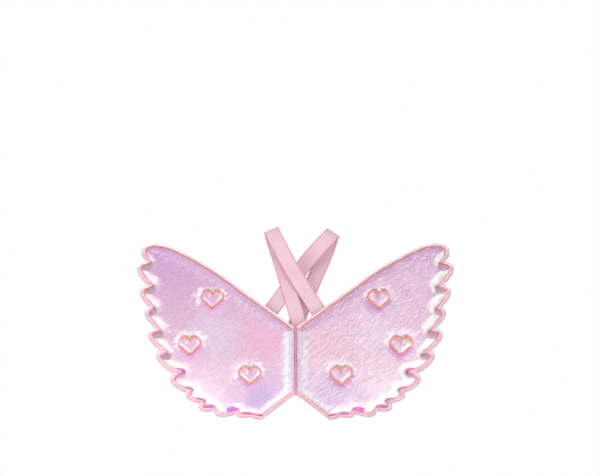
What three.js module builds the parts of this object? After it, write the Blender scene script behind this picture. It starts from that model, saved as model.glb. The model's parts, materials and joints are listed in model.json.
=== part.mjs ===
// A pair of padded fairy wings with two crossed elastic shoulder straps, as worn on the back.
// Millimetres. X runs from the left wing to the right wing, Z is up, and the decorated front faces -Y.
// The origin is the middle of the back patch's outer face, which rests against the wearer's back.
import * as THREE from 'three';

// ---- driving dimensions -------------------------------------------------------------------------
const COVER = 1.0; // thickness of the front and back covers
const GAP = 0.3; // clearance kept between touching pieces
const FLANGE = 4.6; // width of the flat flange outside the edge stitching
const FRONT_PUFF = 11; // how far the padding lifts the front cover off the flange
const BACK_PUFF = 4; // the same for the back cover, away from the patch
const FOLD_X = 2.3; // where each wing starts, and the line it folds about
const SPINE_HALF = 0.9; // half the width of the seam between the wings

const PATCH = { width: 160, height: 44, corner: 7, border: 5, thickness: 1.8, step: 0.9 };
const STRAP = { width: 20, thickness: 1.2, sewn: 14 }; // elastic, and how much of each end is sewn down
const STRAP_STEPS = { loop: 44, end: 4 }; // straight pieces along a loop and along a sewn end
const SWING_Z = 24.5; // the line that the straps swing about, just above the patch
const SWING_ROOM = { above: 0.3, below: 2.2 }; // slack between that line and the two parts of a strap
const REAR_LAYER = -2.7; // middle of the left strap's ends, against the patch
const FRONT_LAYER = -4.2; // middle of the right strap's ends, in front of them

const EDGE_THREAD = { width: 1.0, thickness: 0.8 };
const HEART_THREAD = { width: 2.2, thickness: 0.9 };
const BOBBIN_THREAD = { width: 0.8, thickness: 0.4 };
const TACK_THREAD = { width: 0.8, thickness: 0.35 };
const TACK_BOX = { half: 5.5, rise: 3, open: 1.5 }; // half width, half height and the gap left in a tack

const SEAM_BACK = -PATCH.thickness - GAP; // how far back the seam allowance reaches, below the straps
const SEAM_TOP = 2; // and how high
const BACK_Y = -5.8; // outer face of the back cover at the flange
const FLANGE_Y = BACK_Y - 2 * COVER - GAP; // outer face of the front cover at the flange

// Half of the outline: the notches between the scallops, from the tip down to the inner corner.
// Each scallop ends at its notch [x, z], bulges past the chord, and the edge stitching cuts in at [x, z].
const TOP_EDGE = [[FOLD_X, 31], [60.4, 72.4], [109.3, 107.4], [158.2, 133.5], [184.3, 139.5]];
const TIP = { round: [[198.9, 135.2], [201.6, 124]], end: [195.7, 116.4], stitch: [188.3, 114] };
const SCALLOPS = [
  { end: [194.8, 85.5], bulge: 12, stitch: [184.3, 83.5] },
  { end: [192.4, 56.2], bulge: 9.6, stitch: [183.4, 55.3] },
  { end: [184.3, 29.3], bulge: 7.5, stitch: [174.5, 25.2] },
  { end: [179.3, 0.8], bulge: 10.3, stitch: [164.7, -3.3] },
  { end: [161.4, -30.2], bulge: 8.2, stitch: [145.1, -27.2] },
  { end: [143.5, -56.2], bulge: 8.2, stitch: [135.3, -51.4] },
  { end: [126.4, -70.1], bulge: 4.6, stitch: [118.5, -66] },
  { end: [106.9, -79.9], bulge: 7, stitch: [106.1, -74.5] },
  { end: [78.3, -84], bulge: 6.6, stitch: [75.9, -77.4] },
  { end: [58, -88], bulge: 3.4, stitch: [57.2, -84] },
  { end: [44.9, -91.8], bulge: 1, stitch: [43.3, -87] },
];
const EDGE_BOW = { lead: 0.12, slant: 0.35 }; // how a scallop leaves and meets its notches
const STITCH_BOW = { lead: 0.55, slant: 0.5 };
const INNER_END = { outer: [FOLD_X, -59.5], stitch: [FOLD_X + 1.2, -54.5] };
const INNER_TOP = [FOLD_X + 1.2, 25.6]; // top of the stitching beside the seam
const TOP_STEPS = 18; // points along the outline's top edge and tip
const INNER_STEPS = 5; // from the last scallop to the inner corner
const SEAM_STEPS = 6; // along the seam side
const WING_MIDDLE = [90, 30]; // what the rings of a cover shrink towards
const HEARTS = [
  { name: 'upper', at: [108.8, 66.2] },
  { name: 'outer', at: [138.2, 5.7] },
  { name: 'lower', at: [59.7, -33.3] },
];
const HEART = { width: 28.9, height: 23.9, lobeRadius: 7.33 }; // round lobes, straight sides
const LOBE_STEPS = 10; // straight pieces in a lobe

const PEARL = { color: 0xdcb4da, roughness: 0.3, metalness: 0.2 };
const LINING = { color: 0xeec3d4, roughness: 0.8, metalness: 0 };
const WADDING = { color: 0xf4f1ee, roughness: 1, metalness: 0 };
const THREAD = { color: 0xf79a7c, roughness: 0.6, metalness: 0 };
const ELASTIC = { color: 0xf0c6d4, roughness: 0.85, metalness: 0 };

// ---- helpers --------------------------------------------------------------------------------------
const at = (x, y, z) => new THREE.Vector3(x, y, z);
const degrees = (angle) => (angle * Math.PI) / 180;

function signedVolume(points, faces) {
  let sum = 0;
  for (let i = 0; i < faces.length; i += 3) {
    const [a, b, c] = [points[faces[i]], points[faces[i + 1]], points[faces[i + 2]]];
    sum += a.dot(b.clone().cross(c));
  }
  return sum;
}

// A closed body through a row of closed sections, each end closed by a fan to its middle.
function loft(sections, firstMiddle, lastMiddle) {
  const size = sections[0].length;
  const points = sections.flat();
  const faces = [];
  for (let row = 0; row + 1 < sections.length; row++) {
    for (let i = 0; i < size; i++) {
      const a = row * size + i;
      const b = row * size + ((i + 1) % size);
      faces.push(a, b, b + size, a, b + size, a + size);
    }
  }
  const middleOf = (section) => section.reduce((sum, p) => sum.add(p), at(0, 0, 0)).divideScalar(size);
  const first = points.push(firstMiddle ?? middleOf(sections[0])) - 1;
  const last = points.push(lastMiddle ?? middleOf(sections.at(-1))) - 1;
  const start = (sections.length - 1) * size;
  for (let i = 0; i < size; i++) {
    const next = (i + 1) % size;
    faces.push(first, next, i, last, start + i, start + next);
  }
  if (signedVolume(points, faces) < 0) faces.reverse();
  const geometry = new THREE.BufferGeometry().setFromPoints(points);
  geometry.setIndex(faces);
  geometry.computeVertexNormals();
  return geometry;
}

function piece(name, geometry, finish) {
  const material = new THREE.MeshStandardMaterial({ ...finish, side: THREE.DoubleSide });
  const mesh = new THREE.Mesh(geometry, material);
  mesh.name = name;
  return mesh;
}

// A flat ribbon of thread along points, as wide as given in the wing's plane, on the side of -Y or +Y.
function threadAlong(points, { width, thickness }, side = -1) {
  const sections = points.map((point, i) => {
    const ahead = points[Math.min(i + 1, points.length - 1)];
    const behind = points[Math.max(i - 1, 0)];
    const run = ahead.clone().sub(behind).setY(0).normalize();
    const across = at(run.z, 0, -run.x).multiplyScalar(width / 2);
    const top = point.clone().add(at(0, side * thickness, 0));
    const [left, right] = [point.clone().sub(across), point.clone().add(across)];
    return [left, right, top.clone().add(across), top.clone().sub(across)];
  });
  return loft(sections);
}

// ---- the wing's outline ---------------------------------------------------------------------------
const SCALLOP_SWELL = { near: 1.75, far: 0.95 }; // how full its two ends are, for a bulge of 1
const SCALLOP_STEPS = { wide: 6, narrow: 4, wideBulge: 5 };

// One scallop from notch to notch. It rises over the first `lead` of the chord and slants back in over
// the last `slant` of it.
function scallop(from, to, bulge, { lead, slant }) {
  const chord = to.clone().sub(from);
  const out = new THREE.Vector2(-chord.y, chord.x).normalize();
  const first = from.clone().addScaledVector(chord, lead).addScaledVector(out, SCALLOP_SWELL.near * bulge);
  const second = to.clone().addScaledVector(chord, -slant).addScaledVector(out, SCALLOP_SWELL.far * bulge);
  return new THREE.CubicBezierCurve(from, first, second, to);
}

const flat = ([x, z]) => new THREE.Vector2(x, z);

const line = (from, to) => new THREE.LineCurve(flat(from), flat(to));
const cutIn = ({ end, stitch }) => flat(end).distanceTo(flat(stitch));

// The outer edge and the stitching line of the right wing, point for point, clockwise from the top.
function wingOutline() {
  const outer = [];
  const stitch = [];
  const addInset = (curve, steps) => {
    for (let i = 0; i < steps; i++) {
      const point = curve.getPoint(i / steps);
      const run = curve.getTangent(i / steps);
      outer.push(point);
      stitch.push(new THREE.Vector2(point.x + run.y * FLANGE, point.y - run.x * FLANGE));
    }
  };
  const addPair = (outerCurve, stitchCurve, steps) => {
    for (let i = 0; i < steps; i++) {
      outer.push(outerCurve.getPoint(i / steps));
      stitch.push(stitchCurve.getPoint(i / steps));
    }
  };
  addInset(new THREE.SplineCurve([...TOP_EDGE, ...TIP.round, TIP.end].map(flat)), TOP_STEPS);
  stitch[0] = flat(INNER_TOP);

  let from = TIP;
  for (const lobe of SCALLOPS) {
    const depth = (cutIn(from) + cutIn(lobe)) / 2;
    addPair(
      scallop(flat(from.end), flat(lobe.end), lobe.bulge, EDGE_BOW),
      scallop(flat(from.stitch), flat(lobe.stitch), Math.max(lobe.bulge + depth - FLANGE, 0.5), STITCH_BOW),
      lobe.bulge > SCALLOP_STEPS.wideBulge ? SCALLOP_STEPS.wide : SCALLOP_STEPS.narrow,
    );
    from = lobe;
  }
  addPair(line(from.end, INNER_END.outer), line(from.stitch, INNER_END.stitch), INNER_STEPS);
  addPair(line(INNER_END.outer, TOP_EDGE[0]), line(INNER_END.stitch, INNER_TOP), SEAM_STEPS);
  return { outer, stitch };
}

// ---- covers and padding -----------------------------------------------------------------------------
const RINGS = [0.95, 0.84, 0.6, 0.3]; // the padded part's rings, as shares of the stitching line
const puff = (share) => Math.sqrt(1 - share ** 4); // 0 at the stitching, 1 in the middle of the wing

// The lift of the back cover grows away from the patch, so that the patch and straps lie flat.
const clearOfPatch = (x) => THREE.MathUtils.smoothstep(x, PATCH.width / 2, PATCH.width / 2 + 35);

const middle = flat(WING_MIDDLE);
const shrink = (ring, share) => ring.map((p) => middle.clone().lerp(p, share));

// A surface's rings from the middle out to the stitching: lift(share, x) is its distance from `base`.
function puffedRings(stitch, base, lift) {
  return [...RINGS].reverse().concat(1).map((share) =>
    shrink(stitch, share).map((p) => at(p.x, base + lift(share, p.x), p.y)));
}

const frontLift = (share) => -FRONT_PUFF * puff(share);
const backLift = (share, x) => BACK_PUFF * puff(share) * clearOfPatch(x);
const level = (ring, y) => ring.map((p) => at(p.x, y, p.y));
const middlePoint = (y) => at(middle.x, y, middle.y);

// A shell of even thickness from its face at `base`, inwards by COVER towards the padding.
function cover(outline, base, lift, inwards) {
  const inner = base + inwards * COVER;
  const face = puffedRings(outline.stitch, base, lift);
  const lining = puffedRings(outline.stitch, inner, lift).reverse();
  const edge = [level(outline.outer, base), level(outline.outer, inner)];
  const rise = lift(0, middle.x);
  return loft([...face, ...edge, ...lining], middlePoint(base + rise), middlePoint(inner + rise));
}

// The wadding fills the covers up to the last ring before the stitching.
function padding({ stitch }) {
  const front = FLANGE_Y + COVER + 2 * GAP;
  const back = BACK_Y - COVER - 2 * GAP;
  const face = puffedRings(stitch, front, frontLift).slice(0, -1);
  const rear = puffedRings(stitch, back, backLift).slice(0, -1).reverse();
  const [frontRise, backRise] = [frontLift(0), backLift(0, middle.x)];
  return loft([...face, ...rear], middlePoint(front + frontRise), middlePoint(back + backRise));
}

// ---- threads ----------------------------------------------------------------------------------------
// The edge stitching on one face: from the top of the seam round the wing to the bottom of the seam.
function edgeThread(outline, faceY, thread, side) {
  const count = outline.stitch.length - SEAM_STEPS;
  const { stitch } = outline;
  const run = stitch.slice(0, count).map((p, i) => {
    const ahead = stitch[i + 1].clone().sub(stitch[Math.max(i - 1, 0)]).normalize();
    return at(p.x - ahead.y * thread.width, faceY + side * GAP, p.y + ahead.x * thread.width);
  });
  return threadAlong(run, thread, side);
}

// A heart about the middle of its box: from its point up over the right lobe to the notch, and back
// down over the left lobe.
function heartOutline() {
  const { width, height, lobeRadius } = HEART;
  const centre = new THREE.Vector2(width / 2 - lobeRadius, height / 2 - lobeRadius);
  const tip = new THREE.Vector2(0, -height / 2);
  const away = centre.clone().sub(tip);
  const sideTouches = away.angle() - Math.asin(lobeRadius / away.length()) - Math.PI / 2;
  const lobesMeet = Math.PI - Math.acos(centre.x / lobeRadius);
  const lobe = Array.from({ length: LOBE_STEPS + 1 }, (_, i) => {
    const angle = THREE.MathUtils.lerp(sideTouches, lobesMeet, i / LOBE_STEPS);
    return at(centre.x + lobeRadius * Math.cos(angle), 0, centre.y + lobeRadius * Math.sin(angle));
  });
  const low = at(tip.x, 0, tip.y);
  const side = [low, low.clone().lerp(lobe[0], 0.33), low.clone().lerp(lobe[0], 0.67), ...lobe];
  const other = side.slice(0, -1).reverse().map((p) => at(-p.x, 0, p.z));
  return [...side, ...other];
}

// How far a point lies from the wing's middle, as a share of the way to the stitching line.
function shareAt(outline, x, z) {
  const ray = new THREE.Vector2(x - middle.x, z - middle.y);
  const { stitch } = outline;
  for (let i = 0; i < stitch.length; i++) {
    const a = stitch[i].clone().sub(middle);
    const side = stitch[(i + 1) % stitch.length].clone().sub(stitch[i]);
    const reach = a.cross(side) / ray.cross(side);
    const along = a.cross(ray) / ray.cross(side);
    if (reach > 0 && along >= 0 && along <= 1) return 1 / reach;
  }
  return 0;
}

// A heart's satin stitching, lying on the padded cover, with its ends meeting at the heart's point.
function heartThread(outline, [x, z]) {
  const run = heartOutline().map((p) => {
    const lift = frontLift(shareAt(outline, x + p.x, z + p.z));
    return at(x + p.x, FLANGE_Y + lift - 2 * GAP, z + p.z);
  });
  const half = HEART_THREAD.width / 2 + GAP / 2; // leaves room between the two ends
  run[0].x += half;
  run[run.length - 1].x -= half;
  return threadAlong(run, HEART_THREAD);
}

// ---- the two wings ------------------------------------------------------------------------------------
// The left wing is the right wing seen in a mirror at X = 0.
function mirrored(geometry) {
  const mirror = geometry.clone().scale(-1, 1, 1);
  const faces = mirror.index.array;
  for (let i = 0; i < faces.length; i += 3) [faces[i], faces[i + 1]] = [faces[i + 1], faces[i]];
  mirror.computeVertexNormals();
  return mirror;
}

function wings() {
  const outline = wingOutline();
  const pieces = [
    ['front_cover', cover(outline, FLANGE_Y, frontLift, 1), PEARL],
    ['back_cover', cover(outline, BACK_Y, backLift, -1), LINING],
    ['padding', padding(outline), WADDING],
    ['edge_needle_thread', edgeThread(outline, FLANGE_Y, EDGE_THREAD, -1), THREAD],
    ['edge_bobbin_thread', edgeThread(outline, BACK_Y, BOBBIN_THREAD, 1), THREAD],
    ...HEARTS.map((heart) => [`${heart.name}_heart_stitching`, heartThread(outline, heart.at), THREAD]),
  ];
  return pieces.flatMap(([name, geometry, finish]) => [
    piece(`left_wing_${name}`, mirrored(geometry), finish),
    piece(`right_wing_${name}`, geometry, finish),
  ]);
}

// ---- the centre: seam, patch and sewn strap ends ------------------------------------------------------
// The seam between the wings, with the allowance that reaches back to the patch below the straps.
function spineSeam() {
  const [top, bottom] = [29.5, INNER_END.outer[1]];
  const profile = new THREE.Shape([
    [FLANGE_Y, bottom], [BACK_Y, bottom], [BACK_Y, -PATCH.height / 2], [SEAM_BACK, -PATCH.height / 2],
    [SEAM_BACK, SEAM_TOP], [BACK_Y, SEAM_TOP], [BACK_Y, top], [FLANGE_Y, top],
  ].map(flat));
  const seam = new THREE.ExtrudeGeometry(profile, { depth: 2 * SPINE_HALF, bevelEnabled: false });
  const turn = new THREE.Matrix4().makeBasis(at(0, 1, 0), at(0, 0, 1), at(1, 0, 0));
  return seam.applyMatrix4(turn).translate(-SPINE_HALF, 0, 0);
}

function spineThread() {
  const face = FLANGE_Y - GAP;
  return threadAlong([at(0, face, INNER_TOP[1]), at(0, face, INNER_END.stitch[1])], TACK_THREAD);
}

// A rounded rectangle about the origin in the XZ plane, `inset` smaller on each side.
function roundedPlate(inset, y) {
  const [halfWidth, halfHeight] = [PATCH.width / 2 - inset, PATCH.height / 2 - inset];
  const radius = Math.max(PATCH.corner - inset, 1);
  const corners = [[1, 1, 0], [-1, 1, 90], [-1, -1, 180], [1, -1, 270]];
  return corners.flatMap(([sideX, sideZ, first]) => [0, 30, 60, 90].map((step) => {
    const angle = degrees(first + step);
    const x = sideX * (halfWidth - radius) + radius * Math.cos(angle);
    return at(x, y, sideZ * (halfHeight - radius) + radius * Math.sin(angle));
  }));
}

// The patch: a flat outer face at y = 0, with a lower border that takes its stitching.
function backPatch() {
  const { thickness, step, border } = PATCH;
  return loft([
    roundedPlate(0, -thickness), roundedPlate(0, -step), roundedPlate(border, -step), roundedPlate(border, 0),
  ]);
}

function patchThread() {
  return threadAlong(roundedPlate(PATCH.border / 2, GAP - PATCH.step), TACK_THREAD, 1);
}

// ---- straps -------------------------------------------------------------------------------------------
// A flat strap along `keys`. At each key, `square` is the slope of a line square across the strap and
// `cut` the slope of its section, in degrees in the XZ plane, which differ only where an end is cut level.
function strap(keys, steps) {
  const path = new THREE.CatmullRomCurve3(keys.map((key) => at(...key.at)), false, 'centripetal');
  const blend = (name, t) => {
    const place = t * (keys.length - 1);
    const low = Math.min(Math.floor(place), keys.length - 2);
    return degrees(THREE.MathUtils.lerp(keys[low][name], keys[low + 1][name], place - low));
  };
  const sections = Array.from({ length: steps + 1 }, (_, i) => {
    const t = i / steps;
    const [square, cut] = [blend('square', t), blend('cut', t)];
    const across = at(Math.cos(cut), 0, Math.sin(cut));
    const out = path.getTangent(t).cross(across).normalize().multiplyScalar(STRAP.thickness / 2);
    const side = across.multiplyScalar(STRAP.width / 2 / Math.cos(square - cut));
    const centre = path.getPoint(t);
    return [[-1, -1], [1, -1], [1, 1], [-1, 1]].map(([a, b]) =>
      centre.clone().addScaledVector(side, a).addScaledVector(out, b));
  });
  return loft(sections);
}

// The two loops. Each runs from its outer end up the front leg, over the top fold and down the back leg.
// Legs lean by `lean` degrees from upright where they meet the patch.
const LOOPS = {
  right: {
    layer: FRONT_LAYER,
    legs: { outer: { x: 46.5, lean: 32 }, inner: { x: 7.7, lean: 16.5 } },
    keys: [
      { at: [25.5, -4.5, 57.6], square: 32 }, { at: [-4.2, -14, 105], square: 30 },
      { at: [-29.6, -20.4, 152.9], square: 25 }, { at: [-31.6, -12, 157.4], square: 23.6 },
      { at: [-30.8, -3.6, 152.5], square: 21 }, { at: [-17.8, -3.2, 110], square: 17 },
      { at: [-2, -4, 57.6], square: 16.5 },
    ],
  },
  left: {
    layer: REAR_LAYER,
    legs: { outer: { x: -52.1, lean: -36 }, inner: { x: -3.2, lean: -22.5 } },
    keys: [
      { at: [-23.5, -2.4, 62.9], square: -36 }, { at: [18.8, -0.5, 120.5], square: -38 },
      { at: [46.3, 1, 150.2], square: -34 }, { at: [49.9, 8.5, 154], square: -32.6 },
      { at: [48, 16.6, 149.4], square: -28 }, { at: [39, 14, 124], square: -23 },
      { at: [20.5, 6, 82], square: -22.5 },
    ],
  },
};

function swingingLoop({ layer, legs, keys }) {
  const foot = ({ x, lean }) => ({ at: [x, layer, SWING_Z + SWING_ROOM.above], square: lean, cut: 0 });
  const rising = keys.map((key) => ({ ...key, cut: key.square }));
  return strap([foot(legs.outer), ...rising, foot(legs.inner)], STRAP_STEPS.loop);
}

// The sewn end of a leg, below the line that the strap swings about.
function sewnEnd(layer, { x, lean }) {
  const drift = Math.tan(degrees(lean));
  const place = (below) => [x + drift * (SWING_ROOM.above + below), layer, SWING_Z - below];
  return strap([
    { at: place(SWING_ROOM.below), square: lean, cut: 0 },
    { at: place(SWING_ROOM.below + STRAP.sewn / 2), square: lean, cut: lean / 2 },
    { at: place(SWING_ROOM.below + STRAP.sewn), square: lean, cut: lean },
  ], STRAP_STEPS.end);
}

// A box of stitches that holds a sewn end, open at one corner.
function tack(layer, { x, lean }) {
  const below = SWING_ROOM.below + STRAP.sewn / 2;
  const face = layer - STRAP.thickness / 2 - GAP;
  const centre = at(x + Math.tan(degrees(lean)) * below, face, SWING_Z - below);
  const { half, rise, open } = TACK_BOX;
  const corners = [[-half, rise], [half, rise], [half, -rise], [-half, -rise], [-half, rise - open]];
  const [up, turn] = [at(0, 1, 0), -degrees(lean)];
  const points = corners.map(([a, b]) => at(a, 0, b).applyAxisAngle(up, turn).add(centre));
  return threadAlong(points, TACK_THREAD);
}

function straps() {
  return Object.entries(LOOPS).flatMap(([side, loop]) => [
    piece(`${side}_strap`, swingingLoop(loop), ELASTIC),
    ...Object.entries(loop.legs).flatMap(([end, leg]) => [
      piece(`${side}_strap_${end}_end`, sewnEnd(loop.layer, leg), ELASTIC),
      piece(`${side}_strap_${end}_tack`, tack(loop.layer, leg), THREAD),
    ]),
  ]);
}

const fairyWings = new THREE.Group();
fairyWings.add(
  ...wings(),
  piece('spine_seam', spineSeam(), PEARL),
  piece('spine_stitching', spineThread(), THREAD),
  piece('back_patch', backPatch(), LINING),
  piece('patch_stitching', patchThread(), THREAD),
  ...straps(),
);
export default fairyWings;
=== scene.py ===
"""Padded fairy wings with crossed elastic straps: the looks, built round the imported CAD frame."""
import json
import math
from collections import Counter

import bmesh
import bpy
import numpy as np
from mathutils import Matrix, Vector, geometry, kdtree, noise


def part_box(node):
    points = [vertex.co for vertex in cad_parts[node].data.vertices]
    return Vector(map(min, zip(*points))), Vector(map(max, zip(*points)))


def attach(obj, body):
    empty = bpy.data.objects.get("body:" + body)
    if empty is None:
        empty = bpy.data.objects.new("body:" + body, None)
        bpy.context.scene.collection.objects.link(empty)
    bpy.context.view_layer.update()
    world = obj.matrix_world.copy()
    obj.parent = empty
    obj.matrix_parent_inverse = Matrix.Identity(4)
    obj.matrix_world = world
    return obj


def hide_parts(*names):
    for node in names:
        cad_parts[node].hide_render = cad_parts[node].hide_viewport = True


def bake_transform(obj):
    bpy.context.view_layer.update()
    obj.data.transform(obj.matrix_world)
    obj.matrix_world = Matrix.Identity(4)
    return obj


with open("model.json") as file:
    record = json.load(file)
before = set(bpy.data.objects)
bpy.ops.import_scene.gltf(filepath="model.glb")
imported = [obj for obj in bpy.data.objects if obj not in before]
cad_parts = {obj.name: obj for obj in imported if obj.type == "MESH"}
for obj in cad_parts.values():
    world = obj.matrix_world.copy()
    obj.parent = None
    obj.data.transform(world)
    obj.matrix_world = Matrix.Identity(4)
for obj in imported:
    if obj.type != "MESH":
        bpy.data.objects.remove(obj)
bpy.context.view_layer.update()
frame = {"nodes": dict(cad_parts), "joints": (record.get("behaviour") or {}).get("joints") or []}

MM = 0.001
SIDES = {"left": -1, "right": 1}
HEARTS = ("upper", "outer", "lower")
COVER = 1.0  # the CAD covers' thickness, in millimetres like every size below

# The faces of the flange, from the frame.
FLANGE_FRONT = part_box("right_wing_front_cover")[1][1] / MM - COVER
FLANGE_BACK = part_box("right_wing_back_cover")[0][1] / MM + COVER
FLANGE_EDGE = (FLANGE_FRONT + FLANGE_BACK) / 2

# The covers' meshes.
GRID = 1.7  # spacing of the cloth's points
BACK_GRID = 4.0
EDGE_STEP = 1.4  # spacing of points along the edge
SHEET = 0.6  # thickness of a finished cover
FLANGE_ROWS = (0.1, 0.22, 0.36, 0.52, 0.68, 0.82, 0.93, 1.0)  # from the stitching out to the edge
FLANGE_BULGE = {-1: 1.7, 1: 0.8}  # towards the front, and towards the back
SEAM_HALF = 1.0  # how near the covers come to the middle of the seam

# The wadding's shape under the front cover, and under the back cover.
PUFF, EDGE_ROLL = 11.5, 3.2
CROWN, CROWN_REACH = 0.34, 14.0  # the share of the padding that only rises slowly, and how slowly
HEART_LIFT, HEART_PUFF, HEART_ROLL = 3.0, 4.2, 4.2
DIMPLE_REACH = 9.0  # how far round a heart its dimple is tinted with painted shade
RIM_REACH, HEART_RIM_REACH = 12.0, 6.0  # how far in from the edge, and out from a heart, reflections reach
NOTCHES_FROM = 42.0  # the corners nearer the middle than this are not notches
POCKETS_ABOVE = -24.0  # notches above this height get a painted shade oval below them, the others a painted magenta reflection crescent
POCKET = ((5.0, -5.0), (7.5, 5.2))  # from the notch to the middle of its oval, and half the oval's size
CRESCENT = ((6.5, -0.5), (8.5, 4.8))
GATHER_PITCH, GATHER_REACH = 2.8, 3.2
GATHER_DEPTH = {"edge": 0.25, "seam": 1.3, "heart": 1.3}
BACK_PUFF, BACK_ROLL = 3.4, 9

# The inflation.
SIM_SCALE = 10.0  # the cloth is simulated at ten times its size
SIM_FRAMES = 24
SIM_PRESSURE = {"left": 0.6, "right": 1.5}
SIM_CAP = 1.1  # how far the cloth may leave the wadding's surface
SLACK = 0.008  # how much more cloth there is than the wadding's surface

# The joints, and the straps' routes: x, y, z and the slope of the line square across the strap.
SWING_Z = next(j for j in frame["joints"] if j["name"] == "right_strap_swing")["pos_m"][2] / MM
SEWN_TOP, SEWN_DEEP = 2.2, 16.2  # a sewn end starts and stops this far below the line the strap swings about
STRAP_WIDTH, STRAP_THICK, STRAP_STEP = 20.0, 1.2, 2.0
RIB = 2.2  # spacing of the elastic's ribs
STRAP_COLUMNS = (-1, -0.96, -0.86, -0.6, -0.3, 0, 0.3, 0.6, 0.86, 0.96)
LOOPS = {
    "right": {
        "layer": -4.2, "outer": (46.5, 32), "inner": (7.7, 16.5),
        "keys": ((25.5, -4.5, 57.6, 32), (-4.2, -14, 105, 30), (-29.6, -20.4, 152.9, 25),
                 (-31.6, -12, 157.4, 23.6), (-30.8, -3.6, 152.5, 21), (-17.8, -3.2, 110, 17),
                 (-2, -4, 57.6, 16.5)),
    },
    "left": {
        "layer": -2.7, "outer": (-52.1, -36), "inner": (-3.2, -22.5),
        "keys": ((-23.5, -2.4, 62.9, -36), (18.8, -0.5, 120.5, -38), (46.3, 1, 150.2, -34),
                 (49.9, 8.5, 154, -32.6), (48, 16.6, 149.4, -28), (39, 14, 124, -23),
                 (20.5, 6, 82, -22.5)),
    },
}

# The studio, in metres: what the photograph's frame takes in, and where its lights are.
LENS, SENSOR = 85.0, 36.0
FRAME_WIDTH, CENTRE = 0.786, (0.0059, 0.1467)
FLOOR_Z, FLOOR_RADIUS = -0.75, 1.15
SURROUND = 0.94
SOFTBOXES = (
    ("key", (-0.5, -1.5, 1.5), 1.2, 12.5),
    ("low_left", (-0.7, -0.65, -0.6), 0.5, 3.6),
    ("low_right", (0.7, -0.65, -0.6), 0.5, 3.8),
)


# ---- the frame's outline -------------------------------------------------------------------------
def cad_rings(node):
    """The outer edge and the stitching line of a CAD cover as (x, z) in millimetres, point for point.

    Both start at the top of the seam and run over the tip to the bottom of the seam and back up it.
    """
    mesh = frame["nodes"][node].data
    points = [tuple(round(c / MM, 2) for c in v.co) for v in mesh.vertices]
    inner_face, outer_face = [y for y, _ in Counter(p[1] for p in points).most_common(2)]
    if inner_face < outer_face:
        inner_face, outer_face = outer_face, inner_face
    rim, links = set(), {}
    for face in mesh.polygons:
        corners = [points[i] for i in face.vertices]
        if {p[1] for p in corners} == {inner_face, outer_face}:
            rim.update(corners)
        for a, b in zip(corners, corners[1:] + corners[:1]):
            if a[1] == b[1] == inner_face:
                links.setdefault(a, set()).add(b)
                links.setdefault(b, set()).add(a)
    flat_points = set(links)
    rings = []
    for members in (flat_points & rim, flat_points - rim):
        start = min(members, key=lambda p: abs(p[0]) * 10 - p[2])
        ring, last = [start], None
        while True:
            ways = [p for p in links[ring[-1]] if p in members and p not in ring]
            if not ways:
                break
            ring.append(max(ways, key=lambda p: p[2] + abs(p[0])) if last is None else ways[0])
            last = ring[-1]
        rings.append(np.array([(p[0], p[2]) for p in ring]))
    return rings


def smooth_ring(ring, corners, counts):
    """Points on a smooth closed curve through the ring, counts[i] of them after point i, sharp at corners."""
    points, size = [], len(ring)
    for i in range(size):
        p1, p2 = ring[i], ring[(i + 1) % size]
        p0 = 2 * p1 - p2 if i in corners else ring[i - 1]
        p3 = 2 * p2 - p1 if (i + 1) % size in corners else ring[(i + 2) % size]
        for k in range(counts[i]):
            t = k / counts[i]
            points.append(0.5 * (2 * p1 + (p2 - p0) * t + (2 * p0 - 5 * p1 + 4 * p2 - p3) * t * t
                                 + (3 * p1 - p0 - 3 * p2 + p3) * t ** 3))
    return np.array(points)


def corner_indices(edge):
    """Where the outline is sharp: its notches, the two ends of the seam and the lowest corner."""
    ahead = np.roll(edge, -1, axis=0) - edge
    behind = edge - np.roll(edge, 1, axis=0)
    turn = behind[:, 0] * ahead[:, 1] - behind[:, 1] * ahead[:, 0]
    turn /= np.linalg.norm(ahead, axis=1) * np.linalg.norm(behind, axis=1)
    seam = np.flatnonzero(edge[:, 0] <= edge[:, 0].min() + 0.01)
    ends = [seam[edge[seam, 1].argmax()], seam[edge[seam, 1].argmin()], edge[:, 1].argmin()]
    return sorted(set(np.flatnonzero(turn > 0.42)) | {int(i) for i in ends})


def stitching(edge, corners, cad_stitch, width):
    """The stitching line: `width` inside the edge, drawn in to the CAD's points at the corners."""
    line = np.empty_like(edge)
    size = len(edge)
    for start, end, low, high in zip(corners, corners[1:] + [corners[0] + size],
                                     cad_stitch, np.roll(cad_stitch, -1, axis=0)):
        run = edge[np.arange(start, end + 1) % size]
        if np.ptp(run[:, 0]) < 0.5:  # the side along the seam
            share = np.linspace(0, 1, len(run))[:, None]
            line[np.arange(start, end + 1) % size] = low + (high - low) * share
            continue
        along = np.gradient(run, axis=0)
        along /= np.linalg.norm(along, axis=1)[:, None]
        inwards = np.stack((along[:, 1], -along[:, 0]), axis=1)
        # Widest where it faces outwards.
        wide = 1 + 0.3 * np.maximum(0, -inwards[:, 0]) + 0.12 * inwards[:, 1]
        inset = run + width * wide[:, None] * inwards
        walked = np.concatenate(([0], np.cumsum(np.linalg.norm(np.diff(run, axis=0), axis=1))))
        reach = min(4.5, 0.15 * walked[-1])
        pull_low = np.exp(-((walked / reach) ** 2))[:, None]
        pull_high = np.exp(-(((walked[-1] - walked) / reach) ** 2))[:, None]
        points = inset + pull_low * (low - inset[0]) + pull_high * (high - inset[-1])
        line[np.arange(start, end) % size] = points[:-1]
    return line


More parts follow.
